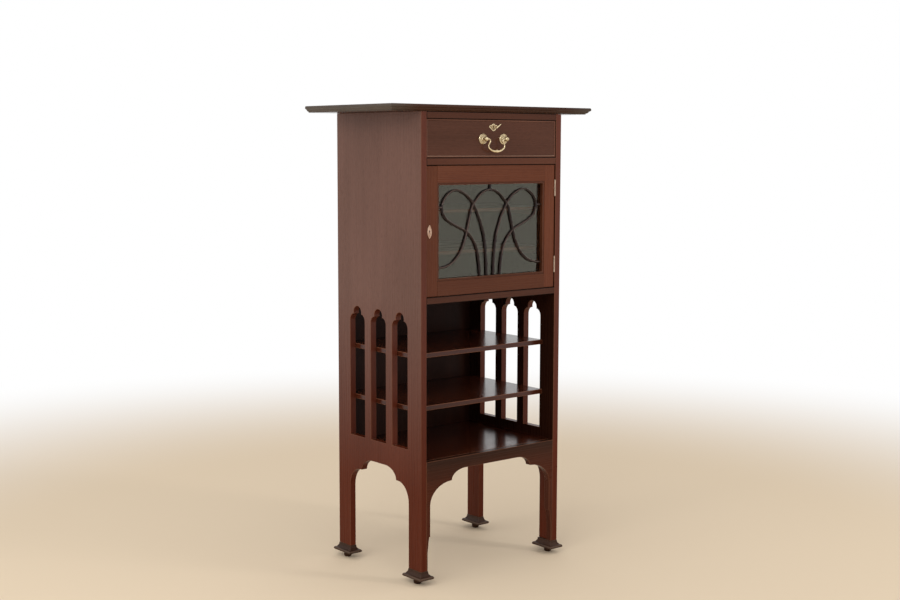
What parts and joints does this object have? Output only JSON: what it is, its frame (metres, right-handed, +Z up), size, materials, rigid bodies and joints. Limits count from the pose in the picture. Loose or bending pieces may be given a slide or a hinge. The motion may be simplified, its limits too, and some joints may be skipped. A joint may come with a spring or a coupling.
{
  "type": "sheet music cabinet",
  "caption": "Tall narrow wooden music cabinet with open shelves behind pierced arched sides, a glazed cupboard with a hinged door, a drawer with a drop handle, and a wide moulded top.",
  "frame": {"origin": "on the floor, under the middle of the whole object's box", "axes": "+Z up, -Y out of the drawer's and door's face, +X towards the door's hinges"},
  "size_m": [0.649, 0.3724, 1.1654],
  "materials": {
    "mahogany": "satin polished, reddish brown",
    "dark_mahogany": "satin polished, dark reddish brown",
    "drawer_lining": "planed, waxed",
    "brass": "polished, lightly aged",
    "glass": "clear, polished",
    "steel": "dull"
  },
  "bodies": {
    "cabinet": {"top_board": "mahogany", "side_board_left": "mahogany", "side_board_right": "mahogany", "front_apron": "mahogany", "bottom_board": "mahogany", "open_shelf_lower": "mahogany", "open_shelf_upper": "mahogany", "cupboard_floor_board": "mahogany", "drawer_divider_board": "mahogany", "top_rail_front": "mahogany", "top_rail_back": "mahogany", "back_panel": "dark_mahogany", "cupboard_shelf_lower": "mahogany", "cupboard_shelf_upper": "mahogany", "shelf_cleat_lower_left": "dark_mahogany", "shelf_cleat_lower_right": "dark_mahogany", "shelf_cleat_upper_left": "dark_mahogany", "shelf_cleat_upper_right": "dark_mahogany", "foot_block_front_left": "dark_mahogany", "foot_block_front_right": "dark_mahogany", "foot_block_back_left": "dark_mahogany", "foot_block_back_right": "dark_mahogany", "glide_front_left": "dark_mahogany", "glide_front_right": "dark_mahogany", "glide_back_left": "dark_mahogany", "glide_back_right": "dark_mahogany", "drawer_stop_left": "dark_mahogany", "drawer_stop_right": "dark_mahogany", "door_stop": "dark_mahogany", "hinge_lower_frame_leaf": "brass", "hinge_upper_frame_leaf": "brass", "hinge_lower_pin": "brass", "hinge_upper_pin": "brass"},
    "drawer": {"drawer_front": "mahogany", "drawer_cock_bead": "mahogany", "drawer_side_left": "drawer_lining", "drawer_side_right": "drawer_lining", "drawer_back": "drawer_lining", "drawer_bottom": "drawer_lining", "drawer_lock": "brass", "drawer_escutcheon": "brass", "cover_rivet": "brass", "handle_post_left": "brass", "handle_post_right": "brass", "handle_nut_left": "brass", "handle_nut_right": "brass"},
    "bail": {"handle_bail": "brass"},
    "keyhole_flap": {"keyhole_cover": "brass"},
    "door": {"door_stile_lock": "mahogany", "door_stile_hinge": "mahogany", "door_rail_top": "mahogany", "door_rail_bottom": "mahogany", "door_moulding": "dark_mahogany", "door_fretwork": "dark_mahogany", "door_glass": "glass", "door_glazing_bead": "dark_mahogany", "door_lock": "steel", "door_escutcheon": "brass", "hinge_lower_door_leaf": "brass", "hinge_upper_door_leaf": "brass"}
  },
  "joints": [
    {"name": "drawer_slide", "type": "slide", "parent": "cabinet", "child": "drawer", "axis": [0, -1, 0], "range_m": [0, 0.22]},
    {"name": "bail_swing", "type": "hinge", "parent": "drawer", "child": "bail", "pos_m": [0, -0.1802, 1.0848], "axis": [-1, 0, 0], "range_deg": [-10, 100]},
    {"name": "cover_swing", "type": "hinge", "parent": "drawer", "child": "keyhole_flap", "pos_m": [0.0105, -0.1695, 1.1128], "axis": [0, -1, 0], "range_deg": [0, 146]},
    {"name": "door_swing", "type": "hinge", "parent": "cabinet", "child": "door", "pos_m": [0.2104, -0.1682, 0.8638], "axis": [0, 0, 1], "range_deg": [0, 105]}
  ]
}
